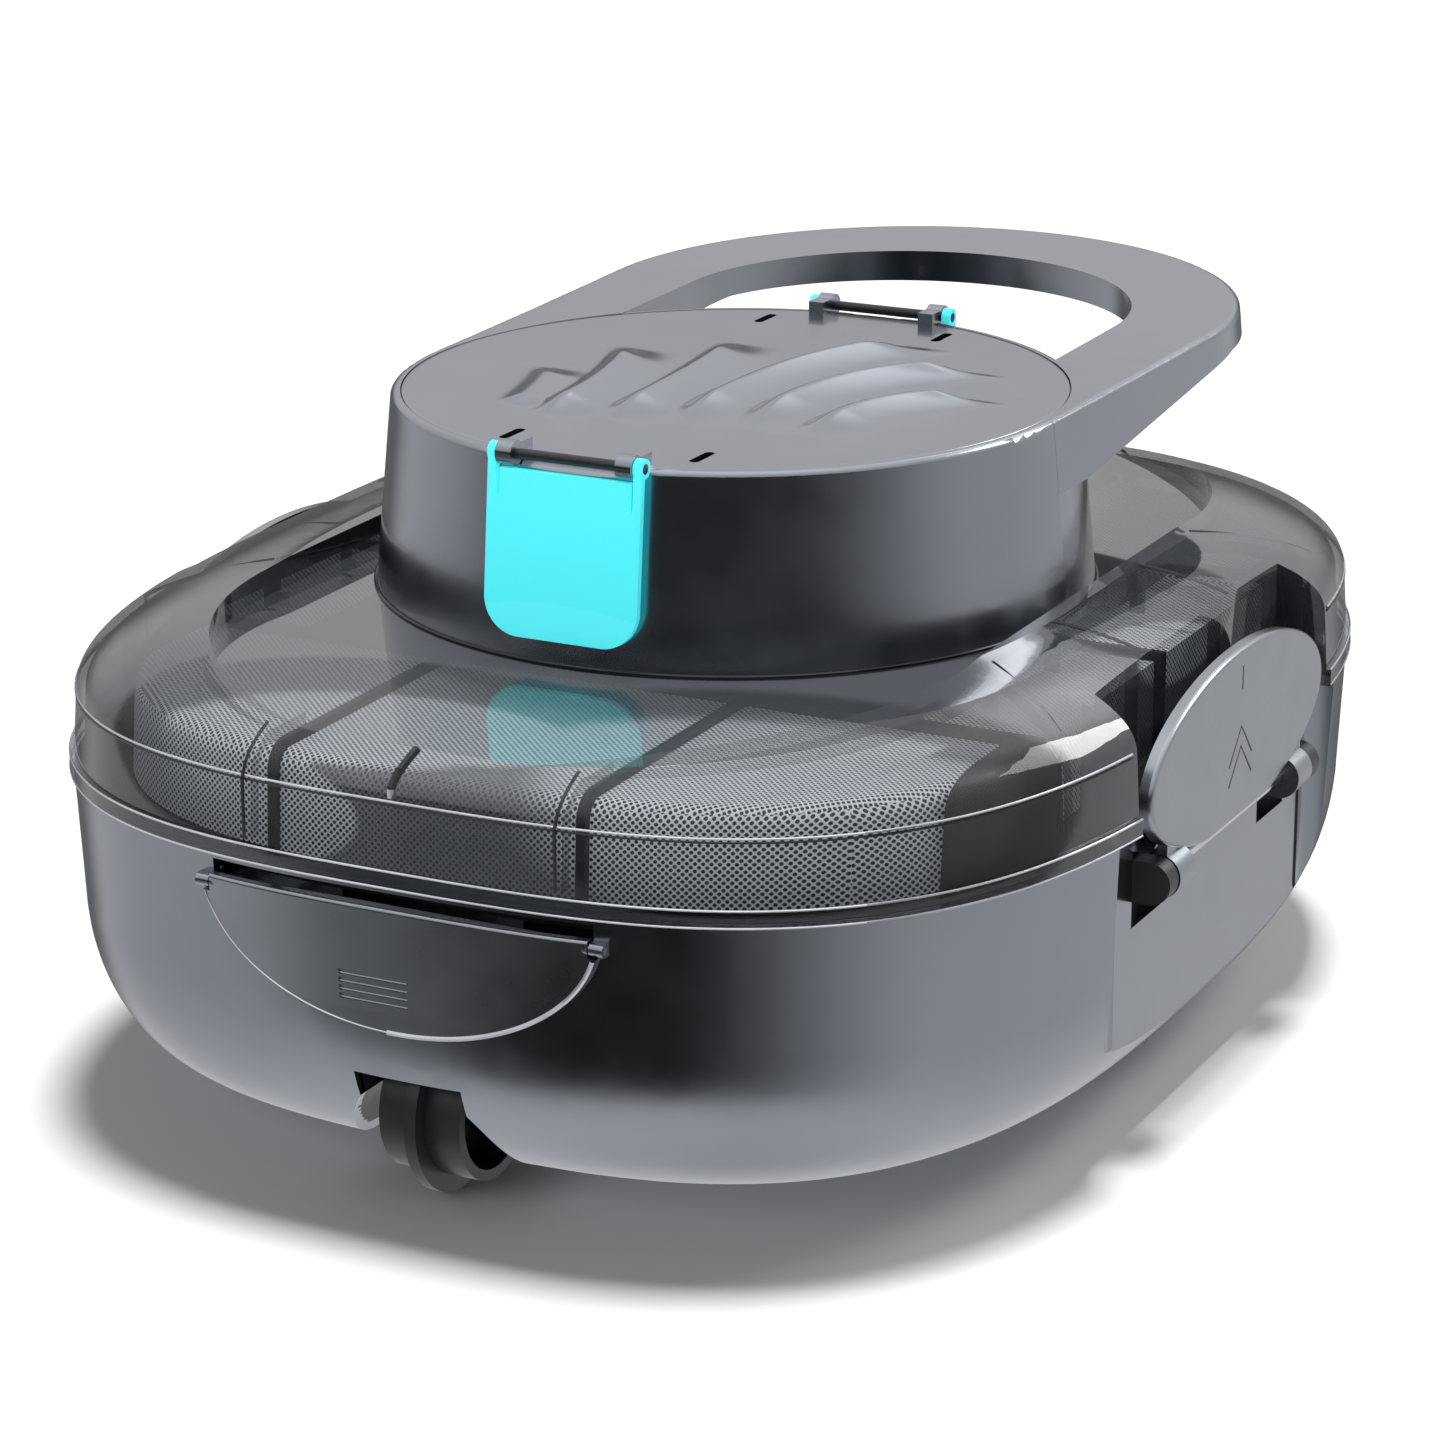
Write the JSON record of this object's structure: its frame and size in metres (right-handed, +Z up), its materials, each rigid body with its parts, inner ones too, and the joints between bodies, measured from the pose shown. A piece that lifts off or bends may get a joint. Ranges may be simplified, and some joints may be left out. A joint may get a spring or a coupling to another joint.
{
  "type": "robotic pool cleaner",
  "caption": "Low cordless pool cleaning robot: grey hull on wheels, clear smoked cover, round turret with a carrying handle, hinged jet flaps and side latches.",
  "frame": {"origin": "on the ground under the middle of the machine's bounding box", "axes": "+Y towards the carrying handle (rear), +X to the right as seen from the front, +Z up"},
  "size_m": [0.327, 0.4294, 0.1926],
  "materials": {
    "body_grey": "gloss moulded plastic",
    "latch_grey": "satin moulded plastic",
    "clear_smoke": "clear smoked plastic",
    "cyan_silicone": "matt silicone",
    "dark_plastic": "matt moulded plastic",
    "black_rubber": "matt rubber",
    "bright_rod": "polished",
    "mesh_cloth": "fine woven mesh",
    "motor_steel": "brushed can",
    "cell_wrap": "shrink-wrapped round cells",
    "board_green": "circuit board",
    "brass_contact": "plated contact"
  },
  "bodies": {
    "hull": {"hull_shell": "body_grey", "wheel_well_front": "dark_plastic", "wheel_well_rear": "dark_plastic", "wheel_well_right": "dark_plastic", "wheel_well_left": "dark_plastic", "centre_wheel_axles": "bright_rod", "side_wheel_axles": "bright_rod", "inlet_throat": "dark_plastic", "inlet_lip": "black_rubber", "inlet_pins": "bright_rod", "drain_flap_pin": "bright_rod", "latch_rod_right": "bright_rod", "latch_rod_left": "bright_rod", "latch_brackets": "dark_plastic", "cover_seals": "black_rubber"},
    "upper_unit": {"top_cover": "clear_smoke", "turret_housing": "body_grey", "deck_plate": "body_grey", "jet_flap_rods": "dark_plastic", "jet_flap_lugs": "body_grey", "nozzle_front": "dark_plastic", "nozzle_rear": "dark_plastic", "drive_pod": "dark_plastic", "pod_lid": "dark_plastic", "support_ring": "dark_plastic", "control_board": "board_green", "battery_cells": "cell_wrap", "motor_front": "motor_steel", "motor_rear": "motor_steel", "shaft_seals": "black_rubber", "button_cup": "dark_plastic", "charge_socket": "dark_plastic", "charge_contacts": "brass_contact", "charge_plug_pin": "bright_rod", "charge_plug_ears": "dark_plastic", "filter_frame": "dark_plastic", "filter_mesh_front": "mesh_cloth", "filter_mesh_rear": "mesh_cloth", "filter_mesh_right": "mesh_cloth", "filter_mesh_left": "mesh_cloth", "pod_screws": "bright_rod"},
    "front_wheel": {"front_wheel": "dark_plastic"},
    "rear_wheel": {"rear_wheel": "dark_plastic"},
    "side_wheel_right": {"side_wheel_right": "dark_plastic"},
    "side_wheel_left": {"side_wheel_left": "dark_plastic"},
    "inlet_flap_front": {"inlet_flap_front": "black_rubber"},
    "inlet_flap_rear": {"inlet_flap_rear": "black_rubber"},
    "drain_flap": {"drain_flap": "latch_grey"},
    "latch_right": {"latch_right": "latch_grey"},
    "latch_left": {"latch_left": "latch_grey"},
    "jet_flap_front": {"jet_flap_front": "cyan_silicone"},
    "jet_flap_rear": {"jet_flap_rear": "cyan_silicone"},
    "screw_front": {"propeller_front": "dark_plastic", "motor_shaft_front": "bright_rod"},
    "screw_rear": {"propeller_rear": "dark_plastic", "motor_shaft_rear": "bright_rod"},
    "power_button": {"power_button": "dark_plastic"},
    "charge_plug": {"charge_plug": "black_rubber"}
  },
  "joints": [
    {"name": "upper_unit_lift", "type": "slide", "parent": "hull", "child": "upper_unit", "axis": [0, 0, 1], "range_m": [0, 0.15]},
    {"name": "latch_right_hinge", "type": "hinge", "parent": "hull", "child": "latch_right", "pos_m": [0.157, -0.0115, 0.077], "axis": [0, 1, 0], "range_deg": [0, 100]},
    {"name": "latch_left_hinge", "type": "hinge", "parent": "hull", "child": "latch_left", "pos_m": [-0.157, -0.0115, 0.077], "axis": [0, -1, 0], "range_deg": [0, 100]},
    {"name": "drain_flap_hinge", "type": "hinge", "parent": "hull", "child": "drain_flap", "pos_m": [0, -0.2095, 0.0885], "axis": [-1, 0, 0], "range_deg": [0, 60]},
    {"name": "front_wheel_spin", "type": "hinge", "parent": "hull", "child": "front_wheel", "pos_m": [0, -0.1815, 0.025], "axis": [1, 0, 0], "continuous": true},
    {"name": "rear_wheel_spin", "type": "hinge", "parent": "hull", "child": "rear_wheel", "pos_m": [0, 0.1585, 0.025], "axis": [1, 0, 0], "continuous": true},
    {"name": "side_wheel_right_spin", "type": "hinge", "parent": "hull", "child": "side_wheel_right", "pos_m": [0.112, -0.0115, 0.021], "axis": [1, 0, 0], "continuous": true},
    {"name": "side_wheel_left_spin", "type": "hinge", "parent": "hull", "child": "side_wheel_left", "pos_m": [-0.112, -0.0115, 0.021], "axis": [1, 0, 0], "continuous": true},
    {"name": "inlet_flap_front_hinge", "type": "hinge", "parent": "hull", "child": "inlet_flap_front", "pos_m": [0, -0.0157, 0.0608], "axis": [-1, 0, 0], "range_deg": [0, 70]},
    {"name": "inlet_flap_rear_hinge", "type": "hinge", "parent": "hull", "child": "inlet_flap_rear", "pos_m": [0, -0.0073, 0.0608], "axis": [1, 0, 0], "range_deg": [0, 70]},
    {"name": "jet_flap_front_hinge", "type": "hinge", "parent": "upper_unit", "child": "jet_flap_front", "pos_m": [0, -0.1133, 0.189], "axis": [-1, 0, 0], "range_deg": [0, 80]},
    {"name": "jet_flap_rear_hinge", "type": "hinge", "parent": "upper_unit", "child": "jet_flap_rear", "pos_m": [0, 0.0903, 0.189], "axis": [1, 0, 0], "range_deg": [0, 80]},
    {"name": "propeller_front_spin", "type": "hinge", "parent": "upper_unit", "child": "screw_front", "pos_m": [0, -0.0875, 0.161], "axis": [0, -1, 0], "continuous": true},
    {"name": "propeller_rear_spin", "type": "hinge", "parent": "upper_unit", "child": "screw_rear", "pos_m": [0, 0.0645, 0.161], "axis": [0, 1, 0], "continuous": true},
    {"name": "power_button_press", "type": "slide", "parent": "upper_unit", "child": "power_button", "axis": [0.9816, 0.1908, 0], "range_m": [0, 0.0025], "stiffness_N_per_m": 600},
    {"name": "charge_plug_hinge", "type": "hinge", "parent": "upper_unit", "child": "charge_plug", "pos_m": [-0.10589, 0.00908, 0.1375], "axis": [-0.1908, -0.9816, 0], "range_deg": [0, 40]}
  ]
}
